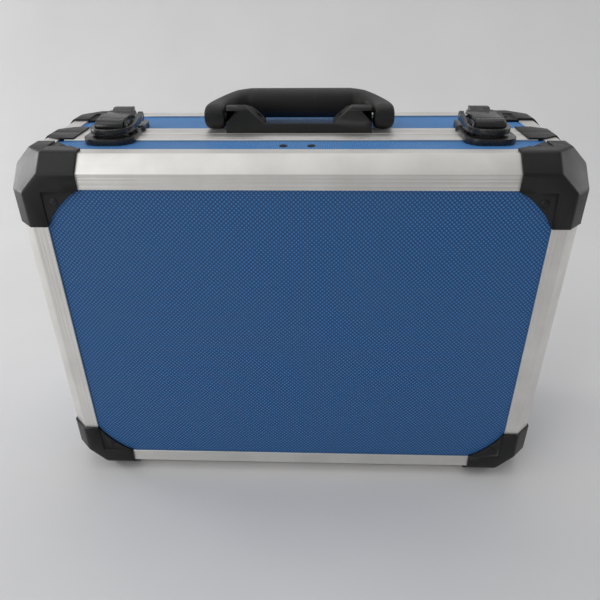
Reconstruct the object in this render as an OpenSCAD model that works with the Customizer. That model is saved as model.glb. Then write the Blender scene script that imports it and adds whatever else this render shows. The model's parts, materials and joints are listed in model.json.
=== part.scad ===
// Hard tool case: an aluminium frame around laminated boards, standing closed on its hinged side.
// X runs across the width, the lid faces -Y, +Z points up. z = 0 is the underside of the corners.

/* [Case] */
// Width over the aluminium frame
case_w = 400; // [330:5:600]
// Height over the aluminium frame, as it stands
case_h = 290; // [220:5:450]
// Depth of the lid half, from its face to the seam
lid_d = 65; // [60:1:110]
// Depth of the base half, from the seam to its back
base_d = 85; // [85:1:160]
// Gap left at the seam between the closed halves
seam_gap = 0.3; // [0.1:0.1:0.6]

/* [Boards] */
// Thickness of the laminated boards
board_t = 4; // [3:0.5:6]
// Clearance between a board's edge and the web that stops it
board_gap = 0.2; // [0.1:0.1:0.5]
// Thickness of the foam lining
lining_t = 5; // [3:0.5:9]
// Air gap that keeps the lining off its neighbours
lining_gap = 0.2; // [0.1:0.1:0.5]

/* [Edge extrusions] */
// Leg of the 45 degree chamfer along every edge
chamfer = 11.2; // [8:0.2:14]
// Thickness of the outer lips
lip_t = 1.4; // [1:0.1:2]
// Width of each outer lip, from the chamfer to its free edge
lip_w = 11.2; // [8:0.2:14]
// Thickness of the webs and inner legs
web_t = 1.2; // [0.8:0.1:1.8]
// Reach of each inner leg, from the outer corner
inner_leg = 18; // [14:0.5:22]
// Clearance between the corner facet and the cut ends of the extrusions
edge_gap = 1.4; // [1:0.1:6]

/* [Rim extrusions] */
// Width of the rim strip, from the seam
rim_w = 17.2; // [14:0.2:22]
// Width of the rim's inner leg
rim_inner_w = 15; // [12:0.5:18]
// Depth of the groove in the lid's rim, from the seam to the web
rim_groove = 3.5; // [2.5:0.1:5]
// How far the base's tongue stands into the lid's groove
tongue_l = 1.6; // [1:0.1:2]
// Thickness of the tongue
tongue_t = 2; // [1.4:0.1:2.4]
// Reach of the rim corner caps along the rim, from the outer corner
cap_leg = 33; // [30:1:60]
// Width of the rim corner caps at the case's edge, from the seam
cap_tip = 10.6; // [8:0.2:13]
// Length over which the caps widen to the width of the rim
cap_taper = 10; // [6:0.5:18]
// How far the rim corner caps stand proud
cap_proud = 1.2; // [0.6:0.1:1.6]

/* [Corner pieces] */
// How far the corner pieces stand proud of the frame
corner_proud = 1.8; // [1.7:0.1:3]
// Reach of the corner pieces along the width and the height
corner_leg = 49.5; // [44:0.5:70]
// Reach of the lid's corner pieces along the depth
lid_corner_leg = 38; // [34:0.5:42]
// Reach of the base's corner pieces along the depth
base_corner_leg = 42; // [38:0.5:60]
// Straight part of the face flange's ends, and of the base's side edges
corner_edge = 11.5; // [8:0.5:16]
// Straight part of the ends of the lid's top and side flanges
lid_corner_end = 16.5; // [14:0.5:20]
// Straight part of the same flanges' side edges
lid_corner_edge = 7; // [5:0.5:9]
// Straight part of the ends of the base's top and side flanges
base_corner_end = 21; // [16:0.5:26]
// Radius of the hollow in a flange's slanting edge
flange_hollow = 60; // [50:1:120]
// How far the flanges step down past the frame's lips
flange_step = 1.2; // [0.6:0.1:1.4]

/* [Rivets] */
// Radius of a rivet's shank
rivet_r = 1.6; // [1.2:0.1:2]
// Radius of a rivet's outer head
head_r = 3; // [2.4:0.1:3.6]
// Height of a rivet's outer head
head_t = 1; // [0.6:0.1:1.4]
// Radius of a rivet's inner head
set_r = 2.6; // [2:0.1:3.2]
// Radial clearance of rivets and fixed pins in their holes
fix_gap = 0.05; // [0.02:0.01:0.1]
// Distance of the corner rivets from the outer corner
corner_rivet = 31; // [28:0.5:34]
// Distance of the lid's side rivets from its face
lid_side_rivet = 26; // [25.5:0.5:29]
// Distance of the same rivets from the outer corner
lid_side_rivet_a = 33; // [27:0.5:34]
// Distance between the two rivets in the middle of the lid's top
mid_rivet_gap = 20; // [12:1:40]
// Their distance from the lid's face
mid_rivet_v = 35; // [30:1:42]

/* [Hinges] */
// Length of each hinge
hinge_l = 50; // [36:1:80]
// Distance of each hinge's middle from the case's side
hinge_inset = 95; // [80:5:120]
// Radius of the hinge knuckles
knuckle_r = 2.5; // [2.2:0.1:2.6]
// Radius of the hinge pins
hinge_pin_r = 1.2; // [0.8:0.1:1.4]
// Thickness of the hinge leaves
leaf_t = 1.2; // [0.8:0.1:1.2]
// Reach of each leaf from the seam
leaf_w = 16; // [13:0.5:17]
// Height of the hinge axis above the frame's underside
hinge_rise = 1.1; // [0.9:0.1:1.3]
// Clearance between a turning piece and what surrounds it
turn_gap = 0.3; // [0.2:0.05:0.4]
// Radial clearance of turning pins in their holes
pin_gap = 0.05; // [0.02:0.01:0.1]

/* [Handle bracket] */
// Width of the bracket
bracket_w = 111; // [100:1:140]
// Depth of the bracket
bracket_d = 23; // [20:0.5:26]
// Distance of the bracket from the seam
bracket_gap = 2; // [1:0.5:6]
// Height of the bracket's end posts
post_h = 19.2; // [18:0.2:24]
// Width of the posts at their top
post_w = 15.5; // [11:0.5:18]
// Depth of the posts' flat top, from the bracket's front
post_flat = 8; // [6:0.5:10]
// Radius of the posts around the handle's pivot
post_boss = 7.5; // [6:0.1:8]
// Height of the low wall between the posts
sill_h = 6.8; // [4.5:0.1:8]
// Run of the slopes between the posts and the low wall
slope_w = 13.5; // [8:0.5:16]
// Thickness of the bracket's floor and low wall
bracket_t = 2.4; // [2:0.1:3]

/* [Handle grip] */
// Distance of the grip's bar from its pivot
grip_reach = 34.5; // [31:0.5:40]
// Radius of the bar
bar_r = 11.2; // [9:0.1:11.5]
// Radius of the arms' knuckles around the pivot
arm_r = 9.4; // [8.5:0.1:9.6]
// Width of the arms' knuckles
arm_w = 16; // [12:0.5:20]
// Length of the bar's straight part
bar_l = 80; // [70:1:90]
// Radius of the handle's pivot pins
handle_pin_r = 2.5; // [1.5:0.1:3.5]

/* [Latches] */
// Distance of each latch's middle from the case's side
latch_inset = 61.5; // [60:0.5:70]
// Half width of the catch plate on the lid
catch_half = 18.5; // [17:0.5:20]
// Length of the catch plate, from the seam
catch_l = 30; // [28:0.5:32]
// Thickness of the catch plate and the latch plate
plate_t = 3; // [2.4:0.1:3.4]
// Height of the catch's rib above its plate
rib_h = 1.4; // [1:0.1:1.5]
// Half width of the latch plate on the base
latch_half = 16.5; // [16:0.5:18]
// Length of the latch plate, from the seam
latch_l = 35; // [32:0.5:40]
// Outer radius of the ring's round front
ring_r = 15.5; // [15:0.1:16.5]
// Thickness of the ring's wall
ring_t = 3; // [2.6:0.1:3.1]
// Height of the ring's wall
ring_h = 4; // [3:0.1:4.2]
// Half width of the lever
lever_half = 10; // [8:0.1:10.1]
// Radius of the lever's nose around its pivot
nose_r = 5; // [4.4:0.1:5.1]
// Distance of the lever's pivot in front of the seam
lever_fore = 12; // [11.5:0.1:13]
// Distance of the ring's pivot behind the seam
ring_aft = 17; // [16:0.5:19]
// Thickness of the cheeks that hold the lever's pin
cheek_t = 1.4; // [1.2:0.1:1.6]
// Radius of the lever's pin
lever_pin_r = 1.5; // [1:0.1:1.8]
// Radius of the ring's pin
ring_pin_r = 1.25; // [0.9:0.05:1.5]

/* [Hidden] */
$fn = 48;

case_d = lid_d + base_d;
seam_y = lid_d - case_d / 2;            // the seam plane
hinge_x = case_w / 2 - hinge_inset;
latch_x = case_w / 2 - latch_inset;
top_z = corner_proud + case_h;          // the frame's top face
board_in = lip_t + board_t;             // a board's inner face, from the outer face
shell_in = board_in + web_t;            // the inner legs' inner face, from the outer face
web_at = chamfer - 0.4;                 // where the webs stand, from the outer corner
board_edge = web_at + web_t + board_gap;
lip_end = chamfer + lip_w;
facet = 3.2 * chamfer;                  // the corner facet is the plane a + v + b = facet
edge_setback = facet - chamfer + edge_gap;
lining_at = shell_in + lining_gap;
far = 300;                              // longer than any cut
eps = 0.01;

aluminium = "#d2cdc6";
board_blue = "#1f559b";
black = "#1c1d1f";
steel = "#9b9da0";
foam = "#3a3b3e";

// ---------- placing ----------

// A half is drawn with its face at y = 0 and the frame's underside at z = 0.
module in_lid() { translate([0, -case_d / 2, corner_proud]) children(); }
module in_base() { translate([0, case_d / 2, corner_proud]) mirror([0, 1, 0]) children(); }

// A side is drawn with its outer face at z = 0, running along X, the case below it.
module on_top() { translate([0, 0, case_h]) children(); }
module on_bottom() { mirror([0, 0, 1]) children(); }
module on_left() { translate([-case_w / 2, 0, case_h / 2]) rotate([0, -90, 0]) children(); }
module on_right() { mirror([1, 0, 0]) on_left() children(); }

// A corner is drawn with [a, v, b] measured inwards from the side, the face and the top.
module at_top_left() { translate([-case_w / 2, 0, case_h]) mirror([0, 0, 1]) children(); }
module at_top_right() { mirror([1, 0, 0]) at_top_left() children(); }
module at_bottom_left() { translate([-case_w / 2, 0, 0]) children(); }
module at_bottom_right() { mirror([1, 0, 0]) at_bottom_left() children(); }
module at_each_corner() {
    at_top_left() children();
    at_top_right() children();
    at_bottom_left() children();
    at_bottom_right() children();
}

// ---------- fasteners ----------

// A rivet at the origin through a skin whose face is at z = 0; top is where its head ends.
module rivet(top, head = head_t) {
    translate([0, 0, top - head]) cylinder(h = head, r = head_r);
    translate([0, 0, -board_in - eps]) cylinder(h = board_in + top - head + 2 * eps, r = rivet_r);
    translate([0, 0, -shell_in]) cylinder(h = web_t, r = set_r);
}

// The space a rivet takes in what it joins: a shank hole, a pocket for each head.
module rivet_hole(top, head = head_t) {
    translate([0, 0, top - head]) cylinder(h = far, r = head_r + fix_gap);
    translate([0, 0, -shell_in - 1])
        cylinder(h = shell_in + 1 + top - head + eps, r = rivet_r + fix_gap);
    translate([0, 0, -shell_in - 1]) cylinder(h = web_t + 1, r = set_r + fix_gap);
}

flange_top = corner_proud - flange_step;
corner_head = flange_top + head_t;
plate_head = plate_t + 0.4;             // latch plate rivet heads stand a little proud
bracket_head = bracket_t + head_t;
mid_head = head_t - lip_t;
leaf_head = leaf_t - 0.1;
leaf_head_t = leaf_t / 2;

// The rivets of one corner, on its face, its top and its side.
module corner_rivets(side_a, side_v) {
    translate([corner_rivet, 0, corner_rivet]) rotate([90, 0, 0]) children();
    translate([side_a, side_v, 0]) mirror([0, 0, 1]) children();
    translate([0, side_v, side_a]) rotate([0, -90, 0]) children();
}

// Places on the top of a half, as [x, distance from the face].
mid_rivets = [for (s = [-1, 1]) [s * mid_rivet_gap / 2, mid_rivet_v]];
catch_rivets = [for (s = [-1, 1], t = [-1, 1]) [s * latch_x + t * 13.2, lid_d - 9]];
latch_front_v = base_d - 10;
latch_back_v = base_d - latch_l + 5.5;
latch_ear = lever_half + turn_gap + cheek_t + head_r + 0.4;
latch_rivets = [for (s = [-1, 1], t = [-1, 1], v = [latch_front_v, latch_back_v])
                [s * latch_x + t * (v == latch_front_v ? latch_ear : 8), v]];
bracket_rivets = [for (s = [-1, 0, 1]) [s * 20, base_d - bracket_gap - 9]];
hinge_rivets = [for (s = [-1, 1], t = [-1, 0, 1]) [s * hinge_x + t * (hinge_l / 2 - 7), 10.5]];

module at_each(places) {
    for (p = places) translate([p[0], p[1], 0]) children();
}

module lid_rivet_set() {
    at_each_corner() corner_rivets(lid_side_rivet_a, lid_side_rivet) rivet(corner_head);
    on_top() at_each(mid_rivets) rivet(mid_head);
    on_top() at_each(catch_rivets) rivet(plate_head);
    on_bottom() at_each([for (p = hinge_rivets) [p[0], lid_d - p[1]]]) rivet(leaf_head, leaf_head_t);
}

module base_rivet_set() {
    at_each_corner() corner_rivets(corner_rivet, corner_rivet) rivet(corner_head);
    on_top() at_each(latch_rivets) rivet(plate_head);
    on_top() at_each(bracket_rivets) rivet(bracket_head);
    on_bottom() at_each([for (p = hinge_rivets) [p[0], base_d - p[1]]]) rivet(leaf_head, leaf_head_t);
}

module lid_rivet_holes() {
    at_each_corner() corner_rivets(lid_side_rivet_a, lid_side_rivet) rivet_hole(corner_head);
    on_top() at_each(mid_rivets) rivet_hole(mid_head);
    on_top() at_each(catch_rivets) rivet_hole(plate_head);
    on_bottom() at_each([for (p = hinge_rivets) [p[0], lid_d - p[1]]]) rivet_hole(leaf_head, leaf_head_t);
}

module base_rivet_holes() {
    at_each_corner() corner_rivets(corner_rivet, corner_rivet) rivet_hole(corner_head);
    on_top() at_each(latch_rivets) rivet_hole(plate_head);
    on_top() at_each(bracket_rivets) rivet_hole(bracket_head);
    on_bottom() at_each([for (p = hinge_rivets) [p[0], base_d - p[1]]]) rivet_hole(leaf_head, leaf_head_t);
}

// ---------- boards ----------

// The large board of a half, its corners clipped inside the corner pieces.
module face_board() {
    a = board_edge;
    clip = facet - lip_t - a + 1;
    w = case_w / 2;
    translate([0, board_in, 0]) rotate([90, 0, 0]) linear_extrude(board_t)
        polygon([[-w + a, clip], [-w + clip, a], [w - clip, a], [w - a, clip],
                 [w - a, case_h - clip], [w - clip, case_h - a],
                 [-w + clip, case_h - a], [-w + a, case_h - clip]]);
}

// A wall board, drawn as a side, clipped like the large board; it ends on the rim's web.
module wall_board(length, depth) {
    a = board_edge;
    clip = facet - lip_t - a + 1;
    end = depth - rim_groove - web_t - board_gap;
    w = length / 2;
    translate([0, 0, -board_in]) linear_extrude(board_t)
        polygon([[-w + a, clip], [-w + clip, a], [w - clip, a], [w - a, clip],
                 [w - a, end], [-w + a, end]]);
}

// ---------- extrusions ----------

// Section of the edge extrusion, in distances from the two outer faces.
module edge_section() {
    c = chamfer;
    k = chamfer + lip_t * (sqrt(2) - 1);
    difference() {
        union() {
            polygon([[c, 0], [lip_end, 0], [lip_end, lip_t], [k, lip_t],
                     [lip_t, k], [lip_t, lip_end], [0, lip_end], [0, c]]);
            translate([web_at, lip_t - eps]) square([web_t, board_t + web_t + eps]);
            translate([lip_t - eps, web_at]) square([board_t + web_t + eps, web_t]);
            translate([board_in, board_in]) square([inner_leg - board_in, web_t]);
            translate([board_in, board_in]) square([web_t, inner_leg - board_in]);
        }
        polygon([[-1, -1], [c + 1, -1], [-1, c + 1]]);
    }
}

// The extrusion between a face and a side, drawn as a side.
module face_edge(length) {
    run = length - 2 * edge_setback;
    rotate([90, 0, 90]) linear_extrude(run, center = true) mirror([0, 1]) edge_section();
}

// The extrusion along the depth, drawn as a corner, from its setback to the rim corner cap.
module depth_edge(depth) {
    translate([0, depth - cap_tip - seam_gap, 0]) rotate([90, 0, 0])
        linear_extrude(depth - cap_tip - seam_gap - edge_setback) edge_section();
}

// Section of the rim extrusion: [distance from the face, height], its outer face at 0.
module rim_section(depth, tongue) {
    seam = depth - seam_gap / 2;
    translate([depth - rim_w, -lip_t]) square([rim_w - seam_gap / 2, lip_t]);
    translate([depth - rim_groove - web_t, -shell_in]) square([web_t, shell_in - eps]);
    translate([depth - rim_inner_w, -shell_in]) square([rim_inner_w - seam_gap / 2, web_t]);
    if (tongue)
        translate([depth - rim_groove - eps, -lip_t - (board_t + tongue_t) / 2])
            square([rim_groove + tongue_l + eps, tongue_t]);
}

module rim(length, depth, tongue) {
    run = length - 2 * edge_setback;
    rotate([90, 0, 90]) linear_extrude(run, center = true) rim_section(depth, tongue);
}

// A prism along a corner's depth edge, from the seam to width.
module along_seam(depth, width) {
    translate([0, depth - seam_gap / 2, 0]) rotate([90, 0, 0])
        linear_extrude(width - seam_gap / 2) children();
}

// The slanting part that a rim corner cap leaves free on a top face, [a, v] in plan.
module cap_taper_cut(depth) {
    end = chamfer + cap_taper;
    linear_extrude(2 * far, center = true)
        polygon([[-far, 0], [end, 0], [end, depth - rim_w], [chamfer, depth - cap_tip],
                 [-far, depth - cap_tip]]);
}

// A rim corner cap, drawn as a corner: a plug between two rims under a cover that wraps them.
module rim_cap(depth) {
    p = cap_proud;
    c = chamfer - p * (sqrt(2) - 1);
    e = edge_setback - board_gap;
    k = board_edge - board_gap;
    difference() {
        along_seam(depth, rim_w)
            polygon([[cap_leg, -p], [c, -p], [-p, c], [-p, cap_leg], [0, cap_leg],
                     [0, chamfer], [chamfer, 0], [cap_leg, 0]]);
        intersection() {
            cap_taper_cut(depth);
            mirror([1, 0, 0]) rotate([0, -90, 0]) cap_taper_cut(depth);
        }
    }
    along_seam(depth, cap_tip)
        polygon([[e, -p], [c, -p], [-p, c], [-p, e], [lip_t, e], [lip_t, k], [shell_in, k],
                 [shell_in, shell_in], [k, shell_in], [k, lip_t], [e, lip_t]]);
}

// The V along the bottom of the seam that lets the halves swing past each other.
module hinge_groove() {
    slope = 1.36;
    drop = hinge_rise + corner_proud + 1;
    translate([-far, seam_y, corner_proud + hinge_rise]) rotate([90, 0, 90])
        linear_extrude(2 * far) polygon([[0, 0], [-slope * drop, -drop], [slope * drop, -drop]]);
}

// The pockets that the hinge knuckles turn in.
module knuckle_pockets() {
    for (s = [-1, 1]) at_hinge(s)
        translate([-hinge_l / 2 - turn_gap, 0, 0]) rotate([0, 90, 0])
            cylinder(h = hinge_l + 2 * turn_gap, r = knuckle_r + turn_gap);
}

// ---------- corner pieces ----------

// The chamfered corner of the case, o larger all round and of legs l and leg_v, drawn as a corner.
module corner_block(o, l, leg_v) {
    c = chamfer - o * sqrt(2);
    f = facet - o * sqrt(3);
    lean = asin(1 / sqrt(3));
    difference() {
        translate([-o, -o, -o]) cube([l + o, leg_v + o, l + o]);
        translate([c / 2, c / 2, 0]) rotate([0, 0, 45]) translate([-far, -far, -far])
            cube([far, 2 * far, 2 * far]);
        translate([0, c / 2, c / 2]) rotate([45, 0, 0]) translate([-far, -far, -far])
            cube([2 * far, far, 2 * far]);
        translate([c / 2, 0, c / 2]) rotate([0, -45, 0]) translate([-far, -far, -far])
            cube([far, 2 * far, 2 * far]);
        translate([f / 3, f / 3, f / 3]) rotate([0, -lean, 45]) translate([-far, -far, -far])
            cube([far, 2 * far, 2 * far]);
    }
}

// The hollow slant off the free corner of a flange with legs la and lb; its end keeps end_a
// and its side end_b of their length, from the chamfer.
module flange_cut(la, lb, end_a, end_b) {
    wa = la - chamfer - end_a;
    wb = lb - chamfer - end_b;
    chord = norm([wa, wb]);
    out = sqrt(pow(flange_hollow, 2) - pow(chord / 2, 2)) / chord;
    translate([la - wa / 2 + out * wb, lb - wb / 2 + out * wa, -far])
        cylinder(h = 2 * far, r = flange_hollow);
}

module corner_piece(leg_v, end_a, end_v) {
    seat = lip_end + board_gap;
    step = seat + 1;
    difference() {
        union() {
            difference() {
                corner_block(corner_proud, corner_leg, leg_v);
                corner_block(0, corner_leg + 1, leg_v + 1);
            }
            translate([seat, -eps, seat]) cube([corner_leg - seat, lip_t + eps, corner_leg - seat]);
            translate([seat, seat, -eps]) cube([corner_leg - seat, leg_v - seat, lip_t + eps]);
            translate([-eps, seat, seat]) cube([lip_t + eps, leg_v - seat, corner_leg - seat]);
        }
        translate([step, -far, step]) cube([far, far - flange_top, far]);
        translate([step, step, -far]) cube([far, far, far - flange_top]);
        translate([-far, step, step]) cube([far - flange_top, far, far]);
        rotate([90, 0, 0]) flange_cut(corner_leg, corner_leg, corner_edge, corner_edge);
        flange_cut(corner_leg, leg_v, end_a, end_v);
        mirror([1, 0, 0]) rotate([0, -90, 0]) flange_cut(corner_leg, leg_v, end_a, end_v);
    }
}

module lid_piece() { corner_piece(lid_corner_leg, lid_corner_end, lid_corner_edge); }
module base_piece() { corner_piece(base_corner_leg, base_corner_end, corner_edge); }

// ---------- lining ----------

// A pad on a side, its front corners clipped inside the corner facets.
module wall_pad(run, v, end, clip) {
    w = run / 2;
    translate([0, 0, -lining_at - lining_t]) linear_extrude(lining_t)
        polygon([[-w, v + clip], [clip - w, v], [w - clip, v], [w, v + clip], [w, end], [-w, end]]);
}

module half_lining(depth) {
    t = lining_t;
    a = lining_at;
    wall_v = a + t + lining_gap;
    end = depth - 1;
    w = case_w - 2 * a;
    h = case_h - 2 * a;
    side = h - 2 * (t + lining_gap);
    clip = facet - 3 * a + 1;
    wall_clip = max(1, facet - 2 * a - wall_v + 1);
    side_clip = max(1, facet - a - 2 * wall_v + 1);
    translate([0, a + t, case_h / 2]) rotate([90, 0, 0]) linear_extrude(t)
        polygon([[-w / 2, clip - h / 2], [clip - w / 2, -h / 2], [w / 2 - clip, -h / 2],
                 [w / 2, clip - h / 2], [w / 2, h / 2 - clip], [w / 2 - clip, h / 2],
                 [clip - w / 2, h / 2], [-w / 2, h / 2 - clip]]);
    on_top() wall_pad(w, wall_v, end, wall_clip);
    on_bottom() wall_pad(w, wall_v, end, wall_clip);
    on_left() wall_pad(side, wall_v, end, side_clip);
    on_right() wall_pad(side, wall_v, end, side_clip);
}

// ---------- hinges ----------

knuckles = 5;
knuckle_l = (hinge_l - (knuckles - 1) * turn_gap) / knuckles;

module at_hinge(s) { translate([s * hinge_x, seam_y, corner_proud + hinge_rise]) children(); }

// One leaf and its knuckles: first is the first knuckle that belongs to it.
module hinge_leaf(first) {
    away = knuckle_r + 2 * turn_gap;
    low = -hinge_rise - leaf_t;
    difference() {
        union() {
            translate([-hinge_l / 2, away, low]) cube([hinge_l, leaf_w - away, leaf_t]);
            for (i = [first : 2 : knuckles - 1])
                translate([-hinge_l / 2 + i * (knuckle_l + turn_gap), 0, 0]) {
                    rotate([0, 90, 0]) cylinder(h = knuckle_l, r = knuckle_r);
                    translate([0, 0, low]) cube([knuckle_l, away + eps, leaf_t]);
                }
        }
        translate([-hinge_l, 0, 0]) rotate([0, 90, 0])
            cylinder(h = 2 * hinge_l, r = hinge_pin_r + pin_gap);
    }
}

// ---------- handle ----------

bracket_v = seam_y + bracket_gap;                 // the bracket's front face
pivot_y = bracket_v + 13;
pivot_h = arm_r + 0.4;                            // the pivot's height above the frame
arm_inner = bracket_w / 2 + 4 * turn_gap;         // the arms' inner faces

// The bracket seen from the front: two posts, slopes and a low wall.
module bracket_front() {
    w = bracket_w / 2;
    p = w - post_w;
    polygon([[-w, 0], [w, 0], [w - 1, post_h], [p, post_h], [p - slope_w, sill_h],
             [-p + slope_w, sill_h], [-p, post_h], [-w + 1, post_h]]);
}

// The bracket seen from the side: a post that falls from its flat top to a boss at the pivot.
module bracket_side() {
    pin_v = pivot_y - bracket_v;
    front_r = 3;
    lean = post_boss / sqrt(2);
    translate([front_r, post_h - front_r]) circle(r = front_r);
    translate([pin_v, pivot_h]) circle(r = post_boss);
    polygon([[0, 0], [0, post_h - front_r], [front_r, post_h - front_r], [front_r, post_h],
             [post_flat, post_h], [pin_v + lean, pivot_h + lean], [pin_v, pivot_h],
             [pin_v + post_boss, pivot_h], [pin_v + post_boss, 0]]);
    square([bracket_d, bracket_t]);
}

// The grip is one swept solid: rounded knuckles, arms that bend inwards, and a straight bar.
// A ring of it is [x, y from the pivot, height, heading, half width, its reach down, its reach
// up, fullness]; a fullness of 1 makes an oval section, less makes a squarer one.
grip_sides = 28;
knuckle_full = 0.5;
bar_full = 0.76;
knuckle_steps = 7;
bend_steps = 14;
bar_rise = 3.2;                                   // the bar's centre lies this much above the pivot
waist = 0.88;                                     // the arms' slimmest width, against the knuckles'
knuckle_x = arm_inner + arm_w / 2;
arm_straight = 17;                                // how far each end of the bend pulls it straight
bar_straight = 15;
bend = [[-knuckle_x, 0], [-knuckle_x, arm_straight],
        [-bar_l / 2 - bar_straight, grip_reach], [-bar_l / 2, grip_reach]];

function mix(a, b, t) = a + (b - a) * t;
function bezier(p, t) = p[0] * pow(1 - t, 3) + p[1] * 3 * t * pow(1 - t, 2)
                        + p[2] * 3 * t * t * (1 - t) + p[3] * pow(t, 3);
function bezier_way(p, t) = (p[1] - p[0]) * pow(1 - t, 2) + (p[2] - p[1]) * 2 * t * (1 - t)
                            + (p[3] - p[2]) * t * t;
function knuckle_ring(i) =
    let (q = 10 + 80 * i / knuckle_steps)
    [-knuckle_x, -arm_r * cos(q), pivot_h, 90, arm_w / 2 * mix(0.85, 1, pow(sin(q), 0.5)),
     arm_r * sin(q), arm_r * pow(sin(q), 0.5), knuckle_full];
function bend_ring(j) =
    let (t = j / bend_steps, c = bezier(bend, t), d = bezier_way(bend, t),
         s = 1 - (1 - waist) * sin(180 * min(1, t * 1.3)), high = mix(arm_r, bar_r, t) * s)
    [c[0], c[1], pivot_h + bar_rise * t, atan2(d[1], d[0]), mix(arm_w / 2, bar_r, t) * s,
     high, high, mix(knuckle_full, bar_full, t)];
left_rings = concat([for (i = [0 : knuckle_steps]) knuckle_ring(i)],
                    [for (j = [1 : bend_steps]) bend_ring(j)]);
right_rings = [for (i = [len(left_rings) - 1 : -1 : 0]) let (r = left_rings[i])
               [-r[0], r[1], r[2], -r[3], r[4], r[5], r[6], r[7]]];

function full(v, fullness) = sign(v) * pow(abs(v), fullness);
function ring_points(r) = [for (k = [0 : grip_sides - 1])
    let (q = 360 * k / grip_sides, u = r[4] * full(cos(q), r[7]), w = full(sin(q), r[7]))
    [r[0] - u * sin(r[3]), r[1] + u * cos(r[3]), r[2] + w * (w > 0 ? r[6] : r[5])]];

module tube(rings) {
    n = grip_sides;
    last = len(rings) - 1;
    points = [for (r = rings) each ring_points(r)];
    walls = [for (i = [0 : last - 1], k = [0 : n - 1]) let (a = i * n + k, b = i * n + (k + 1) % n)
             each [[a, b, b + n], [a, b + n, a + n]]];
    ends = [[for (k = [n - 1 : -1 : 0]) k], [for (k = [0 : n - 1]) last * n + k]];
    polyhedron(points, concat(walls, ends), convexity = 6);
}

// ---------- latches ----------

lever_y = seam_y - lever_fore;
ring_y = seam_y + ring_aft;
lever_z = plate_t + 0.6 + nose_r;       // the lever's pivot, above the frame
ring_z = lever_z + 0.8;                 // the ring's pivot, above the frame
ring_low = plate_t + rib_h + turn_gap;  // the ring's underside
ring_round_y = seam_y - 11;             // the centre of the ring's round front
ring_ear_r = 3.6;
ring_in = ring_r - ring_t;
cheek_in = lever_half + turn_gap;

module at_latch(s) { translate([s * latch_x, 0, top_z]) children(); }

// A plate with round ends, in plan: its straight end at y = 0, the round one at y = length.
module plate_outline(half, length, r) {
    translate([-half, 0]) square([2 * half, length - r]);
    translate([-half + r, 0]) square([2 * (half - r), length]);
    translate([-half + r, length - r]) circle(r = r);
    translate([half - r, length - r]) circle(r = r);
}

module catch_plate() {
    rib_y = lever_y - 4.4;
    translate([0, seam_y - seam_gap / 2, 0]) mirror([0, 1, 0]) {
        linear_extrude(plate_t) plate_outline(catch_half, catch_l, 12);
        translate([0, 0, -lip_t]) linear_extrude(lip_t + eps) difference() {
            plate_outline(catch_half, catch_l, 12);
            translate([-far, -1]) square([2 * far, rim_w + 1 + board_gap]);
        }
    }
    translate([-lever_half + 0.5, rib_y - 2, plate_t - eps])
        cube([2 * lever_half - 1, 2, rib_h + eps]);
}

module latch_plate() {
    ear_r = head_r + 0.6;
    translate([0, seam_y + seam_gap / 2, 0]) {
        linear_extrude(plate_t) {
            plate_outline(latch_half, latch_l, 8);
            for (t = [-1, 1]) translate([t * latch_ear, 10 - seam_gap / 2]) circle(r = ear_r);
        }
        translate([0, 0, -lip_t]) linear_extrude(lip_t + eps) difference() {
            plate_outline(latch_half, latch_l, 8);
            translate([-far, -1]) square([2 * far, rim_w + 1 + board_gap]);
        }
    }
}

// One cheek, seen from the side; it reaches forward over the catch to hold the lever's pin.
module cheek_outline() {
    boss = nose_r - 2;
    low = plate_t + rib_h + turn_gap;
    translate([lever_y, lever_z]) circle(r = boss);
    polygon([[lever_y, low], [seam_y + 0.5, low], [seam_y + 0.5, plate_t - eps],
             [seam_y + 11, plate_t - eps], [seam_y + 8, lever_z - 1.5],
             [seam_y - 4, lever_z + boss], [lever_y, lever_z + boss]]);
}

module latch_base_piece() {
    difference() {
        union() {
            latch_plate();
            for (t = [0, 1]) mirror([t, 0, 0]) translate([cheek_in, 0, 0]) rotate([90, 0, 90])
                linear_extrude(cheek_t) cheek_outline();
        }
        translate([-far, lever_y, lever_z]) rotate([0, 90, 0])
            cylinder(h = 2 * far, r = lever_pin_r + fix_gap);
    }
}

// The lever seen from the side: a round nose, a flat cover and a raised finger tab.
module lever_outline() {
    top = lever_z + nose_r;
    back = ring_y + 4;
    translate([lever_y, lever_z]) circle(r = nose_r);
    polygon([[lever_y, lever_z - nose_r + 0.8], [back, lever_z - nose_r + 0.8], [back, top - 2],
             [back - 2, top], [lever_y, top]]);
}

module tab_outline() {
    top = lever_z + nose_r;
    polygon([[ring_y - 3, top - 2], [ring_y + 4, top - 4], [ring_y + 9, top - 1.4],
             [ring_y + 9, top + 1.6], [ring_y + 3, top + 1.8], [ring_y - 1, top]]);
}

module lever_piece() {
    top = lever_z + nose_r;
    difference() {
        union() {
            rotate([90, 0, 90]) linear_extrude(2 * lever_half, center = true) lever_outline();
            rotate([90, 0, 90]) linear_extrude(2 * lever_half - 5, center = true) tab_outline();
        }
        for (y = [lever_y + 2.5, ring_y - 4])
            translate([-far, y, top - 0.8]) cube([2 * far, 1.2, far]);
        translate([-far, lever_y, lever_z]) rotate([0, 90, 0])
            cylinder(h = 2 * far, r = lever_pin_r + pin_gap);
        translate([-far, ring_y, ring_z]) rotate([0, 90, 0])
            cylinder(h = 2 * far, r = ring_pin_r + pin_gap);
    }
}

// The ring in plan: a round front and two straight sides, then its side view is cut from it.
module ring_outline() {
    difference() {
        union() {
            translate([0, ring_round_y]) circle(r = ring_r);
            translate([-ring_r, ring_round_y]) square([2 * ring_r, ring_y + ring_ear_r - ring_round_y]);
        }
        translate([0, ring_round_y]) circle(r = ring_in);
        translate([-ring_in, ring_round_y]) square([2 * ring_in, far]);
    }
}

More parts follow.
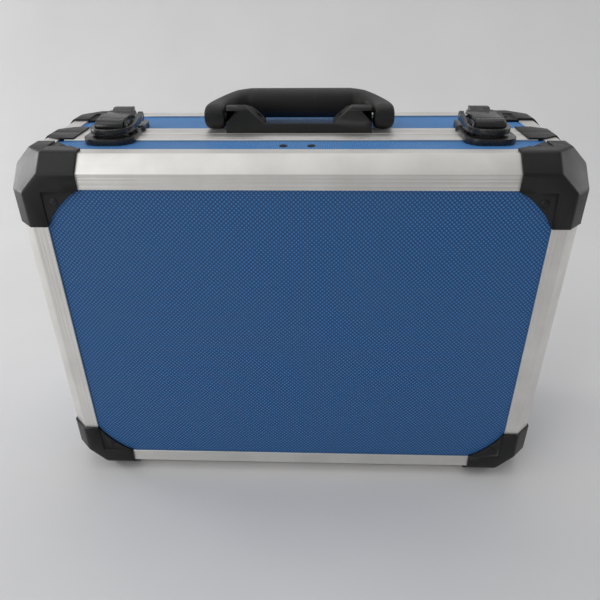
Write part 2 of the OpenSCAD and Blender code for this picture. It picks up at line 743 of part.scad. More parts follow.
module ring_side() {
    front = ring_round_y - ring_r - 1;
    translate([ring_y, ring_z]) circle(r = ring_ear_r);
    polygon([[front, ring_low], [ring_round_y + 8, ring_low], [ring_y - 2, ring_z - 3],
             [ring_y - 2, ring_z + 3], [ring_round_y + 8, ring_low + ring_h],
             [front, ring_low + ring_h]]);
}

module ring_piece() {
    difference() {
        intersection() {
            linear_extrude(far) ring_outline();
            rotate([90, 0, 90]) linear_extrude(far, center = true) ring_side();
        }
        translate([-far, ring_y, ring_z]) rotate([0, 90, 0])
            cylinder(h = 2 * far, r = ring_pin_r + fix_gap);
    }
}

// ---------- sub-parts of the lid ----------

module lid_panel() {
    color(board_blue) difference() {
        in_lid() face_board();
        in_lid() lid_rivet_holes();
    }
}

module lid_wall() {
    color(board_blue) difference() {
        in_lid() children();
        in_lid() lid_rivet_holes();
    }
}

module lid_wall_top() { lid_wall() on_top() wall_board(case_w, lid_d); }
module lid_wall_left() { lid_wall() on_left() wall_board(case_h, lid_d); }
module lid_wall_right() { lid_wall() on_right() wall_board(case_h, lid_d); }
module lid_wall_bottom() { lid_wall() on_bottom() wall_board(case_w, lid_d); }

module lid_edge_top() { color(aluminium) in_lid() on_top() face_edge(case_w); }
module lid_edge_bottom() { color(aluminium) in_lid() on_bottom() face_edge(case_w); }
module lid_edge_left() { color(aluminium) in_lid() on_left() face_edge(case_h); }
module lid_edge_right() { color(aluminium) in_lid() on_right() face_edge(case_h); }
module lid_depth_edges() { color(aluminium) in_lid() at_each_corner() depth_edge(lid_d); }

module lid_rim() {
    color(aluminium) difference() {
        in_lid() children();
        in_lid() lid_rivet_holes();
        hinge_groove();
        knuckle_pockets();
    }
}

module lid_rim_top() { lid_rim() on_top() rim(case_w, lid_d, false); }
module lid_rim_bottom() { lid_rim() on_bottom() rim(case_w, lid_d, false); }
module lid_rim_left() { lid_rim() on_left() rim(case_h, lid_d, false); }
module lid_rim_right() { lid_rim() on_right() rim(case_h, lid_d, false); }

module lid_rim_caps() {
    color(black) difference() {
        in_lid() at_each_corner() rim_cap(lid_d);
        hinge_groove();
    }
}

module lid_corner() {
    color(black) difference() {
        in_lid() children();
        in_lid() lid_rivet_holes();
    }
}

module lid_corner_top_left() { lid_corner() at_top_left() lid_piece(); }
module lid_corner_top_right() { lid_corner() at_top_right() lid_piece(); }
module lid_corner_bottom_left() { lid_corner() at_bottom_left() lid_piece(); }
module lid_corner_bottom_right() { lid_corner() at_bottom_right() lid_piece(); }

module lid_rivets() { color(steel) in_lid() lid_rivet_set(); }
module lid_lining() { color(foam) in_lid() half_lining(lid_d); }

// ---------- sub-parts of the base ----------

module base_panel() {
    color(board_blue) difference() {
        in_base() face_board();
        in_base() base_rivet_holes();
    }
}

module base_wall() {
    color(board_blue) difference() {
        in_base() children();
        in_base() base_rivet_holes();
    }
}

module base_wall_top() { base_wall() on_top() wall_board(case_w, base_d); }
module base_wall_bottom() { base_wall() on_bottom() wall_board(case_w, base_d); }
module base_wall_left() { base_wall() on_left() wall_board(case_h, base_d); }
module base_wall_right() { base_wall() on_right() wall_board(case_h, base_d); }

module base_edge_top() { color(aluminium) in_base() on_top() face_edge(case_w); }
module base_edge_bottom() { color(aluminium) in_base() on_bottom() face_edge(case_w); }
module base_edge_left() { color(aluminium) in_base() on_left() face_edge(case_h); }
module base_edge_right() { color(aluminium) in_base() on_right() face_edge(case_h); }
module base_depth_edges() { color(aluminium) in_base() at_each_corner() depth_edge(base_d); }

module base_rim() {
    color(aluminium) difference() {
        in_base() children();
        in_base() base_rivet_holes();
        hinge_groove();
        knuckle_pockets();
    }
}

module base_rim_top() { base_rim() on_top() rim(case_w, base_d, true); }
module base_rim_bottom() { base_rim() on_bottom() rim(case_w, base_d, true); }
module base_rim_left() { base_rim() on_left() rim(case_h, base_d, true); }
module base_rim_right() { base_rim() on_right() rim(case_h, base_d, true); }

module base_rim_caps() {
    color(black) difference() {
        in_base() at_each_corner() rim_cap(base_d);
        hinge_groove();
    }
}

module base_corner() {
    color(black) difference() {
        in_base() children();
        in_base() base_rivet_holes();
    }
}

module base_corner_top_left() { base_corner() at_top_left() base_piece(); }
module base_corner_top_right() { base_corner() at_top_right() base_piece(); }
module base_corner_bottom_left() { base_corner() at_bottom_left() base_piece(); }
module base_corner_bottom_right() { base_corner() at_bottom_right() base_piece(); }

module base_rivets() { color(steel) in_base() base_rivet_set(); }
module base_lining() { color(foam) in_base() half_lining(base_d); }

// ---------- hinges, handle and latches ----------

module hinge_leaves_lid() {
    color(steel) difference() {
        for (s = [-1, 1]) at_hinge(s) mirror([0, 1, 0]) hinge_leaf(1);
        in_lid() lid_rivet_holes();
    }
}

module hinge_leaves_base() {
    color(steel) difference() {
        for (s = [-1, 1]) at_hinge(s) hinge_leaf(0);
        in_base() base_rivet_holes();
    }
}

module hinge_pins() {
    color(steel) for (s = [-1, 1]) at_hinge(s) translate([-hinge_l / 2, 0, 0]) rotate([0, 90, 0])
        cylinder(h = hinge_l, r = hinge_pin_r);
}

module handle_bracket() {
    inner = bracket_w / 2 - post_w - slope_w;
    color(black) difference() {
        translate([0, bracket_v, top_z]) intersection() {
            translate([0, far / 2, 0]) rotate([90, 0, 0]) linear_extrude(far) bracket_front();
            rotate([90, 0, 90]) linear_extrude(far, center = true) bracket_side();
        }
        translate([-inner, bracket_v + bracket_t, top_z + bracket_t]) cube([2 * inner, far, far]);
        translate([-far, pivot_y, top_z + pivot_h]) rotate([0, 90, 0])
            cylinder(h = 2 * far, r = handle_pin_r + fix_gap);
        in_base() base_rivet_holes();
    }
}

module handle_grip() {
    color(black) difference() {
        translate([0, pivot_y, top_z]) tube(concat(left_rings, right_rings));
        translate([-far, pivot_y, top_z + pivot_h]) rotate([0, 90, 0])
            cylinder(h = 2 * far, r = handle_pin_r + pin_gap);
    }
}

module handle_pins() {
    length = post_w + arm_w;
    color(steel) for (t = [0, 1]) mirror([t, 0, 0])
        translate([arm_inner + arm_w - 1 - length, pivot_y, top_z + pivot_h]) rotate([0, 90, 0])
            cylinder(h = length, r = handle_pin_r);
}

module catch(s) {
    color(black) difference() {
        at_latch(s) catch_plate();
        in_lid() lid_rivet_holes();
    }
}

module latch_base(s) {
    color(black) difference() {
        at_latch(s) latch_base_piece();
        in_base() base_rivet_holes();
    }
}

module ring_pin(s) {
    color(steel) at_latch(s) translate([-ring_r, ring_y, ring_z]) rotate([0, 90, 0])
        cylinder(h = 2 * ring_r, r = ring_pin_r);
}

module latch_left_catch() { catch(-1); }
module latch_right_catch() { catch(1); }
module latch_left_base() { latch_base(-1); }
module latch_right_base() { latch_base(1); }
module latch_left_lever() { color(black) at_latch(-1) lever_piece(); }
module latch_right_lever() { color(black) at_latch(1) lever_piece(); }
module latch_left_ring() { color(black) at_latch(-1) ring_piece(); }
module latch_right_ring() { color(black) at_latch(1) ring_piece(); }
module latch_left_ring_pin() { ring_pin(-1); }
module latch_right_ring_pin() { ring_pin(1); }
module latch_lever_pins() {
    half = cheek_in + cheek_t;
    color(steel) for (s = [-1, 1]) at_latch(s) translate([-half, lever_y, lever_z])
        rotate([0, 90, 0]) cylinder(h = 2 * half, r = lever_pin_r);
}

lid_panel();
lid_wall_top();
lid_wall_bottom();
lid_wall_left();
lid_wall_right();
lid_edge_top();
lid_edge_bottom();
lid_edge_left();
lid_edge_right();
lid_depth_edges();
lid_rim_top();
lid_rim_bottom();
lid_rim_left();
lid_rim_right();
lid_rim_caps();
lid_corner_top_left();
lid_corner_top_right();
lid_corner_bottom_left();
lid_corner_bottom_right();
lid_rivets();
lid_lining();
base_panel();
base_wall_top();
base_wall_bottom();
base_wall_left();
base_wall_right();
base_edge_top();
base_edge_bottom();
base_edge_left();
base_edge_right();
base_depth_edges();
base_rim_top();
base_rim_bottom();
base_rim_left();
base_rim_right();
base_rim_caps();
base_corner_top_left();
base_corner_top_right();
base_corner_bottom_left();
base_corner_bottom_right();
base_rivets();
base_lining();
hinge_leaves_lid();
hinge_leaves_base();
hinge_pins();
handle_bracket();
handle_grip();
handle_pins();
latch_left_catch();
latch_right_catch();
latch_left_base();
latch_right_base();
latch_left_lever();
latch_right_lever();
latch_left_ring();
latch_right_ring();
latch_left_ring_pin();
latch_right_ring_pin();
latch_lever_pins();
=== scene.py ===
"""The looks of the hard tool case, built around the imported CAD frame."""

import json
import math

import bmesh
import bpy
from mathutils import Matrix, Vector, geometry

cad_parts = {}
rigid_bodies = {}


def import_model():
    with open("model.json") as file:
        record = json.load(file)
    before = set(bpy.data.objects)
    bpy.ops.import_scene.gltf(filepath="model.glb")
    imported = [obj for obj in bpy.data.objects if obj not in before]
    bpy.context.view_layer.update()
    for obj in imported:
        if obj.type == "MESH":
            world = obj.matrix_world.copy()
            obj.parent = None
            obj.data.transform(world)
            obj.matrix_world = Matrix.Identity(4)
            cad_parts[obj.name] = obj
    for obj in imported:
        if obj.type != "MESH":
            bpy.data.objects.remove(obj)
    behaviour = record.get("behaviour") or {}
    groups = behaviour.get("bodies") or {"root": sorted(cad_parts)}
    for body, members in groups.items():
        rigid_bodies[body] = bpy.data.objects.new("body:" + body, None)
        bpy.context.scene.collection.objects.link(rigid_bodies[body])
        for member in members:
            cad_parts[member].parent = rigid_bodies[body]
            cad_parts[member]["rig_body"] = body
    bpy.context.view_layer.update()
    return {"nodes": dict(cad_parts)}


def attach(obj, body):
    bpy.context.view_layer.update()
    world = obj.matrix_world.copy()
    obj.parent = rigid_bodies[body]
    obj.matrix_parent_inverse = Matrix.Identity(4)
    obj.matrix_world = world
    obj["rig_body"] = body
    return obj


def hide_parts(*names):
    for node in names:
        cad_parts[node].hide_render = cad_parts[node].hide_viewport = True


MM = 0.001

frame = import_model()
nodes = frame["nodes"]

# The main sizes of the case, in millimetres.
CASE_W, CASE_H = 400.0, 290.0
LID_D, BASE_D = 65.0, 85.0
CASE_D = LID_D + BASE_D
PROUD = 1.8
TOP = PROUD + CASE_H
SEAM_Y = LID_D - CASE_D / 2
SEAM_GAP = 0.3
CHAMFER, LIP_T, LIP_W = 11.2, 1.4, 11.2
LIP_END = CHAMFER + LIP_W
BOARD_T, WEB_T = 4.0, 1.2
BOARD_IN = LIP_T + BOARD_T
SHELL_IN = BOARD_IN + WEB_T
WEB_AT = CHAMFER - 0.4
FACET = 3.2 * CHAMFER   # a corner's facet is the plane a + v + b = FACET
INNER_LEG, SETBACK = 18.0, FACET - CHAMFER + 1.4
CAP_TIP = 10.6
RIM_W, RIM_INNER_W, RIM_GROOVE = 17.2, 15.0, 3.5
TONGUE_L, TONGUE_T = 1.6, 2.0
LATCH_X = 138.5


# ---------- placing ----------

def moved(x, y, z):
    return Matrix.Translation((x, y, z))


def mirrored(x=1, y=1, z=1):
    return Matrix.Diagonal((x, y, z, 1))


def turned(axis, degrees):
    return Matrix.Rotation(math.radians(degrees), 4, axis)


HALF = {
    "lid": (moved(0, -CASE_D / 2, PROUD), LID_D),
    "base": (moved(0, CASE_D / 2, PROUD) @ mirrored(y=-1), BASE_D),
}
LEFT_SIDE = moved(-CASE_W / 2, 0, CASE_H / 2) @ turned("Y", -90)
SIDE = {
    "top": (moved(0, 0, CASE_H), CASE_W),
    "bottom": (mirrored(z=-1), CASE_W),
    "left": (LEFT_SIDE, CASE_H),
    "right": (mirrored(x=-1) @ LEFT_SIDE, CASE_H),
}
TOP_LEFT = moved(-CASE_W / 2, 0, CASE_H) @ mirrored(z=-1)
BOTTOM_LEFT = moved(-CASE_W / 2, 0, 0)
CORNER = {
    "top_left": TOP_LEFT,
    "top_right": mirrored(x=-1) @ TOP_LEFT,
    "bottom_left": BOTTOM_LEFT,
    "bottom_right": mirrored(x=-1) @ BOTTOM_LEFT,
}


# ---------- node materials ----------

def add(tree, kind, inputs=None, **props):
    """A new shader node; inputs maps a socket's name or index to a value or to another socket."""
    made = tree.nodes.new("ShaderNode" + kind)
    for key, value in props.items():
        setattr(made, key, value)
    for key, value in (inputs or {}).items():
        if isinstance(value, bpy.types.NodeSocket):
            tree.links.new(value, made.inputs[key])
        else:
            made.inputs[key].default_value = value
    return made


def maths(tree, operation, a, b=0.5):
    return add(tree, "Math", {0: a, 1: b}, operation=operation).outputs[0]


def mix(tree, factor, a, b):
    made = add(tree, "Mix", data_type="RGBA")
    for key, value in (("Factor", factor), ("A", a), ("B", b)):
        socket = next(s for s in made.inputs if s.name == key and s.enabled)
        if isinstance(value, bpy.types.NodeSocket):
            tree.links.new(value, socket)
        else:
            socket.default_value = value
    return next(s for s in made.outputs if s.enabled)


def ramp(tree, factor, low, high, a=0.0, b=1.0):
    """factor from low to high becomes a to b, held beyond."""
    return add(tree, "MapRange", {"Value": factor, "From Min": low, "From Max": high,
                                  "To Min": a, "To Max": b}).outputs[0]


def rgb(red, green, blue):
    return (red, green, blue, 1.0)


def new_material(name, metallic=0.0, **constants):
    """A Principled material: (material, tree, shader)."""
    made = bpy.data.materials.new(name)
    made.use_nodes = True
    tree = made.node_tree
    shader = tree.nodes["Principled BSDF"]
    shader.inputs["Metallic"].default_value = metallic
    for key, value in constants.items():
        shader.inputs[key.replace("_", " ")].default_value = value
    return made, tree, shader


def place(tree, scale=(1, 1, 1)):
    """Object coordinates in millimetres, stretched."""
    where = add(tree, "TexCoord").outputs["Object"]
    grown = tuple(1000 * s for s in scale)
    return add(tree, "Mapping", {"Vector": where, "Scale": grown}).outputs[0]


def speckle(tree, vector, scale, detail=2.0, roughness=0.5):
    return add(tree, "TexNoise", {"Vector": vector, "Scale": scale, "Detail": detail,
                                  "Roughness": roughness}).outputs["Fac"]


def set_bump(tree, shader, height, strength, distance):
    bumped = add(tree, "Bump", {"Height": height, "Strength": strength, "Distance": distance})
    tree.links.new(bumped.outputs[0], shader.inputs["Normal"])


WEAVE_PITCH = 3.2       # width of one diamond of the embossed skin, in mm


def woven_skin(name, first, second, lift=1.0, painted_sheen=0.0):
    """Blue laminate skin, its diamonds laid out on two of the three axes, with painted highlights on
    their tops and painted shade in the hollows between them. lift brightens its blue, and on the top
    skin paints in the light from above; the last argument adds some red and green to the tops of the
    diamonds as a painted sheen."""
    made, tree, shader = new_material(name, Specular_IOR_Level=0.38)
    where = place(tree)
    axes = add(tree, "SeparateXYZ", {0: where})
    u, v = axes.outputs[first], axes.outputs[second]
    turns = math.pi / WEAVE_PITCH
    one = maths(tree, "MULTIPLY", maths(tree, "ADD", u, v), turns)
    two = maths(tree, "MULTIPLY", maths(tree, "SUBTRACT", u, v), turns)
    ridge_one = maths(tree, "ABSOLUTE", maths(tree, "COSINE", one))
    ridge_two = maths(tree, "ABSOLUTE", maths(tree, "COSINE", two))
    dome = maths(tree, "MULTIPLY", ridge_one, ridge_two)
    grain = speckle(tree, where, 1.6, 3.0)
    patches = speckle(tree, where, 0.012, 3.0)
    height = maths(tree, "ADD", dome, maths(tree, "MULTIPLY", grain, 0.25))
    # The colour follows the diamonds' height: painted highlights on their tops and painted shade in the
    # hollows between them; the extra red and green on the tops is a painted sheen.
    shade = mix(tree, ramp(tree, dome, 0.20, 0.95), rgb(0.008 * lift, 0.050 * lift, 0.170 * lift),
                rgb(0.055 * lift + 0.5 * painted_sheen, 0.225 * lift + painted_sheen, 0.530 * lift))
    # Random worn patches laid over the painted highlights and shade.
    wear_and_painted_highlights = mix(tree, ramp(tree, patches, 0.35, 0.7, 0.0, 0.22), shade, rgb(0.040, 0.115, 0.245))
    tree.links.new(wear_and_painted_highlights, shader.inputs["Base Color"])
    tree.links.new(ramp(tree, grain, 0.3, 0.7, 0.42, 0.58), shader.inputs["Roughness"])
    set_bump(tree, shader, height, 0.6, 0.00045)
    return made


def drawn_metal(name, axis, colour=(0.80, 0.785, 0.755), low=0.40, high=0.52):
    """Satin anodised aluminium with draw lines along one axis."""
    made, tree, shader = new_material(name, metallic=1.0)
    scale = [2.6, 2.6, 2.6]
    scale[axis] = 0.010
    lines = speckle(tree, place(tree, tuple(scale)), 1.0, 3.0, 0.6)
    blotch = speckle(tree, place(tree), 0.02, 4.0, 0.55)
    fine = speckle(tree, place(tree), 3.0, 2.0)
    dull = tuple(0.86 * c for c in colour)
    shade = mix(tree, ramp(tree, blotch, 0.35, 0.68), rgb(*colour), rgb(*dull))
    tree.links.new(shade, shader.inputs["Base Color"])
    spread = maths(tree, "ADD", ramp(tree, lines, 0.3, 0.7, low, high),
                   ramp(tree, blotch, 0.3, 0.7, -0.03, 0.05))
    tree.links.new(spread, shader.inputs["Roughness"])
    set_bump(tree, shader, maths(tree, "ADD", lines, maths(tree, "MULTIPLY", fine, 0.3)),
             0.16, 0.00006)
    return made


def moulded(name, colour, low, high, grain_size, grain_depth, level=0.5):
    """Black moulded plastic: colour, a range of roughness, and a fine grain."""
    made, tree, shader = new_material(name, Specular_IOR_Level=level)
    where = place(tree)
    grain = speckle(tree, where, 1.0 / grain_size, 2.0)
    cloud = speckle(tree, where, 0.05, 4.0, 0.6)
    scuffs = speckle(tree, place(tree, (0.9, 0.12, 0.5)), 0.35, 5.0, 0.7)
    paler = tuple(min(1.0, 1.9 * c + 0.012) for c in colour)
    shade = mix(tree, ramp(tree, scuffs, 0.60, 0.76, 0.0, 0.7), rgb(*colour), rgb(*paler))
    tree.links.new(shade, shader.inputs["Base Color"])
    rough = maths(tree, "ADD", ramp(tree, grain, 0.3, 0.7, low, high),
                  ramp(tree, cloud, 0.3, 0.7, -0.04, 0.05))
    tree.links.new(rough, shader.inputs["Roughness"])
    set_bump(tree, shader, grain, 0.5, grain_depth * MM)
    return made


def plated(name, colour, rough):
    """Small plated steel parts."""
    made, tree, shader = new_material(name, metallic=1.0)
    where = place(tree)
    cloud = speckle(tree, where, 0.5, 4.0, 0.6)
    shade = mix(tree, ramp(tree, cloud, 0.35, 0.7), rgb(*colour), rgb(*(0.75 * c for c in colour)))
    tree.links.new(shade, shader.inputs["Base Color"])
    tree.links.new(ramp(tree, cloud, 0.3, 0.7, rough, rough + 0.14), shader.inputs["Roughness"])
    set_bump(tree, shader, speckle(tree, where, 2.0, 2.0), 0.12, 0.00005)
    return made


def foam_sheet(name):
    made, tree, shader = new_material(name, Specular_IOR_Level=0.2, Sheen_Weight=0.25,
                                      Sheen_Roughness=0.6)
    where = place(tree)
    cells = add(tree, "TexVoronoi", {"Vector": where, "Scale": 1.3}).outputs["Distance"]
    cloud = speckle(tree, where, 0.03, 4.0)
    shade = mix(tree, ramp(tree, cells, 0.1, 0.7), rgb(0.022, 0.022, 0.025), rgb(0.052, 0.052, 0.057))
    shade = mix(tree, ramp(tree, cloud, 0.35, 0.7, 0.0, 0.35), shade, rgb(0.07, 0.07, 0.075))
    tree.links.new(shade, shader.inputs["Base Color"])
    shader.inputs["Roughness"].default_value = 0.92
    set_bump(tree, shader, cells, 0.6, 0.0003)
    return made


X, Y, Z = 0, 1, 2
# The top skin is a lighter copy of the one laminate: its large lift is painted light from above, and
# its added red and green on the diamonds' tops is a painted sheen.
SKIN = {"panel": woven_skin("skin_face", X, Z, lift=1.08),
        "top": woven_skin("skin_top_painted_light", X, Y, lift=1.95, painted_sheen=0.07),
        "side": woven_skin("skin_side", Y, Z)}
METAL = {X: drawn_metal("aluminium_x", X), Y: drawn_metal("aluminium_y", Y),
         Z: drawn_metal("aluminium_z", Z)}
CORNER_BLACK = moulded("corner_black", (0.009, 0.009, 0.0092), 0.34, 0.48, 0.45, 0.05, 0.34)
HANDLE_BLACK = moulded("handle_black", (0.016, 0.0155, 0.0145), 0.40, 0.52, 0.6, 0.05, 0.35)
LATCH_BLACK = moulded("latch_black", (0.014, 0.014, 0.015), 0.19, 0.33, 0.7, 0.02, 0.55)
STEEL = plated("plated_steel", (0.60, 0.60, 0.61), 0.28)
DARK_RIVET = plated("blackened_rivet", (0.045, 0.045, 0.048), 0.46)
FOAM = foam_sheet("foam")


# ---------- mesh tools ----------

BUILT_SHARP, DRESSED_SHARP = 32.0, 40.0     # steeper edges than this many degrees stay sharp
MOST_CORNERS = 8


def give(name, mesh, material, body, replaced=()):
    """A new piece that rides on a body and the CAD nodes it stands for."""
    made = bpy.data.objects.new(name, mesh)
    bpy.context.scene.collection.objects.link(made)
    if material is not None:
        mesh.materials.clear()
        mesh.materials.append(material)
    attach(made, body)
    if replaced:
        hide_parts(*replaced)
    return made


def to_mesh(bm, name):
    """The bmesh as a new mesh, and frees it."""
    mesh = bpy.data.meshes.new(name)
    bm.to_mesh(mesh)
    bm.free()
    return mesh


def mesh_of(bm, name, sharp=BUILT_SHARP):
    """The bmesh as a smooth-shaded mesh whose steep edges stay sharp."""
    bmesh.ops.recalc_face_normals(bm, faces=bm.faces)
    mesh = to_mesh(bm, name)
    mesh.shade_smooth()
    mesh.set_sharp_from_angle(angle=math.radians(sharp))
    return mesh


def with_modifiers(mesh, settings):
    """The mesh with modifiers applied: settings is a list of (kind, {property: value})."""
    holder = bpy.data.objects.new("holder", mesh)
    bpy.context.scene.collection.objects.link(holder)
    for kind, values in settings:
        modifier = holder.modifiers.new(kind.lower(), kind)
        for key, value in values.items():
            setattr(modifier, key, value)
    graph = bpy.context.evaluated_depsgraph_get()
    graph.update()
    made = bpy.data.meshes.new_from_object(holder.evaluated_get(graph), depsgraph=graph)
    bpy.data.objects.remove(holder)
    return made


def bevel(width, segments):
    return ("BEVEL", {"width": width * MM, "segments": segments, "limit_method": "ANGLE",
                      "angle_limit": math.radians(BUILT_SHARP), "harden_normals": True,
                      "use_clamp_overlap": True, "miter_outer": "MITER_ARC"})


def clean_copy(node):
    """A bmesh of a CAD node, welded, with its flat faces in one piece each."""
    bm = bmesh.new()
    bm.from_mesh(nodes[node].data)
    bmesh.ops.remove_doubles(bm, verts=bm.verts, dist=2e-6)
    bmesh.ops.dissolve_limit(bm, angle_limit=math.radians(0.5), verts=bm.verts, edges=bm.edges)
    return bm


def split_large(bm):
    """Splits the faces of many corners, which a bevel would otherwise leave badly filled."""
    bmesh.ops.triangulate(bm, faces=[face for face in bm.faces if len(face.verts) > MOST_CORNERS])


def dressed(node, material, width=0.4, segments=2, split=False):
    """A piece with the CAD node's shape and softened edges."""
    bm = clean_copy(node)
    if split:
        split_large(bm)
    mesh = to_mesh(bm, node + "_shape")
    mesh.shade_smooth()
    made = with_modifiers(mesh, [bevel(width, segments)])
    made.set_sharp_from_angle(angle=math.radians(DRESSED_SHARP))
    return give("look_" + node, made, material, nodes[node]["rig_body"], [node])


def rounded(points, radii, steps=3):
    """A closed outline with its corners rounded off; radii maps an index to a radius."""
    out = []
    count = len(points)
    for i, point in enumerate(points):
        radius = radii.get(i, 0.0)
        here = Vector(point)
        before = (Vector(points[i - 1]) - here).normalized()
        after = (Vector(points[(i + 1) % count]) - here).normalized()
        if not radius:
            out.append(here)
            continue
        half = math.acos(max(-1.0, min(1.0, before.dot(after)))) / 2
        reach = radius / math.tan(half)
        start, end = here + before * reach, here + after * reach
        middle = here + (before + after).normalized() * (radius / math.sin(half))
        for k in range(steps + 1):
            t = k / steps
            spoke = (start - middle).slerp(end - middle, t) if (start - middle).length else start
            out.append(middle + spoke.normalized() * radius)
    return out


def extruded(loops, to_space, run):
    """A solid from outlines (the first outside, the rest holes) along a run of (from, to)."""
    bm = bmesh.new()
    rings = []
    for loop in loops:
        pair = []
        for at in run:
            pair.append([bm.verts.new(to_space(p, at)) for p in loop])
        rings.append(pair)
        count = len(loop)
        for k in range(count):
            n = (k + 1) % count
            bm.faces.new((pair[0][k], pair[0][n], pair[1][n], pair[1][k]))
    flat = [[Vector((p[0], p[1], 0)) for p in loop] for loop in loops]
    triangles = geometry.tessellate_polygon(flat)
    for end in (0, 1):
        verts = [v for pair in rings for v in pair[end]]
        for tri in triangles:
            bm.faces.new([verts[i] for i in tri])
    bmesh.ops.scale(bm, vec=(MM, MM, MM), verts=bm.verts)
    return bm


def joined(bm, part):
    """Adds the bmesh part to bm."""
    spare = to_mesh(part, "spare")
    bm.from_mesh(spare)
    bpy.data.meshes.remove(spare)


def score(a, b, axis, at, width=0.5, depth=0.10):
    """Points of a V line scored into the straight from a to b, at distances along it."""
    a, b = Vector(a), Vector(b)
    way = (b - a).normalized()
    inward = Vector(axis)
    out = []
    for d in at:
        out += [a + way * (d - width / 2), a + way * d + inward * depth, a + way * (d + width / 2)]
    return out


# ---------- aluminium extrusions ----------

LIP_LINES = (2.6, 5.0, 8.4)


def edge_outline():
    """The section of an edge extrusion, in distances from the two outer faces."""
    c, end, k = CHAMFER, LIP_END, CHAMFER + LIP_T * (math.sqrt(2) - 1)
    web = WEB_AT + WEB_T
    outer = rounded([(c, 0), (end, 0), (end, LIP_T), (web, LIP_T), (web, BOARD_IN),
                     (INNER_LEG, BOARD_IN), (INNER_LEG, SHELL_IN), (SHELL_IN, SHELL_IN),
                     (SHELL_IN, INNER_LEG), (BOARD_IN, INNER_LEG), (BOARD_IN, web),
                     (LIP_T, web), (LIP_T, end), (0, end), (0, c)],
                    {0: 0.8, 1: 0.45, 2: 0.3, 5: 0.3, 6: 0.3, 8: 0.3, 9: 0.3, 12: 0.3, 13: 0.45,
                     14: 0.8})
    first = score((c, 0), (end, 0), (0, 1), LIP_LINES)
    last = score((0, end), (0, c), (1, 0), [LIP_W - d for d in reversed(LIP_LINES)])
    outer = outer[:4] + first + outer[4:-4] + last + outer[-4:]
    low = LIP_T + k - WEB_AT
    near = LIP_T + k - BOARD_IN
    holes = [[(WEB_AT, low), (WEB_AT, BOARD_IN), (near, BOARD_IN)],
             [(low, WEB_AT), (BOARD_IN, near), (BOARD_IN, WEB_AT)]]
    return [outer] + [[Vector(p) for p in hole] for hole in holes]


EDGE = edge_outline()
for half, (half_place, depth) in HALF.items():
    for side, (side_place, length) in SIDE.items():
        run = length / 2 - SETBACK
        matrix = half_place @ side_place
        bm = extruded(EDGE, lambda p, at: matrix @ Vector((at, p[0], -p[1])), (-run, run))
        node = f"{half}_edge_{side}"
        axis = X if side in ("top", "bottom") else Z
        give("look_" + node, mesh_of(bm, node), METAL[axis], half, [node])
    bm = bmesh.new()
    for corner_place in CORNER.values():
        matrix = half_place @ corner_place
        end = depth - CAP_TIP - SEAM_GAP
        joined(bm, extruded(EDGE, lambda p, at: matrix @ Vector((p[0], at, p[1])),
                            (SETBACK, end)))
    node = half + "_depth_edges"
    give("look_" + node, mesh_of(bm, node), METAL[Y], half, [node])


def rim_outline(depth, tongue):
    """The section of a rim extrusion: (distance from the face, height), its outer face at 0."""
    seam = depth - SEAM_GAP / 2
    front = depth - RIM_W
    web = depth - RIM_GROOVE - WEB_T
    low = -SHELL_IN
    points = [(front, 0), (seam, 0), (seam, -LIP_T), (web + WEB_T, -LIP_T)]
    if tongue:
        mid = -LIP_T - BOARD_T / 2
        points += [(web + WEB_T, mid + TONGUE_T / 2), (depth + TONGUE_L, mid + TONGUE_T / 2),
                   (depth + TONGUE_L, mid - TONGUE_T / 2), (web + WEB_T, mid - TONGUE_T / 2)]
    points += [(web + WEB_T, low + WEB_T), (seam, low + WEB_T), (seam, low),
               (depth - RIM_INNER_W, low), (depth - RIM_INNER_W, low + WEB_T), (web, low + WEB_T),
               (web, -LIP_T), (front, -LIP_T)]
    last = len(points) - 1
    radii = {0: 0.45, 1: 0.35, 2: 0.2, last: 0.2}
    if tongue:
        radii.update({5: 0.5, 6: 0.5})
    outline = rounded(points, radii)
    lines = score((front, 0), (seam, 0), (0, -1), (2.2, 4.4))
    return [outline[:4] + lines + outline[4:]]


for half, (half_place, depth) in HALF.items():
    outline = rim_outline(depth, half == "base")
    for side in ("top", "left", "right"):
        side_place, length = SIDE[side]
        run = length / 2 - SETBACK
        matrix = half_place @ side_place
        bm = extruded(outline, lambda p, at: matrix @ Vector((at, p[0], p[1])), (-run, run))
        node = f"{half}_rim_{side}"
        axis = X if side == "top" else Z
        give("look_" + node, mesh_of(bm, node), METAL[axis], half, [node])
    dressed(half + "_rim_bottom", METAL[X], width=0.2, segments=2)


# ---------- boards ----------

for half in HALF:
    nodes[half + "_panel"].data.materials.clear()
    nodes[half + "_panel"].data.materials.append(SKIN["panel"])
    for side in SIDE:
        mesh = nodes[f"{half}_wall_{side}"].data
        mesh.materials.clear()
        # The top and bottom walls take the top skin, with its painted light from above and painted
        # sheen.
        mesh.materials.append(SKIN["top" if side in ("top", "bottom") else "side"])


# ---------- corner pieces and rim caps ----------

OUTER_R = 1.8           # how far the rounding of a corner piece's outer edges reaches
INNER_WEIGHT = 0.2      # the share of it that its other edges get
SHORTEST_EDGE = 0.9     # shorter edges, as round a rivet's hole, aren't rounded
FLATTEST_EDGE = 20.0    # nor are edges that turn by fewer degrees


def is_outer(face):
    """Whether a face, in corner coordinates in mm, is one of the outer planes of a piece."""
    normal, at = face.normal, face.calc_center_median()
    if max(normal) > 0.01:
        return False
    parts = [abs(n) > 0.1 for n in normal]
    total = sum(at[i] for i in range(3) if parts[i])
    size = math.sqrt(sum(parts))
    return total < {1: 0.0, 2: CHAMFER, 3: FACET}[sum(parts)] - 1.2 * size


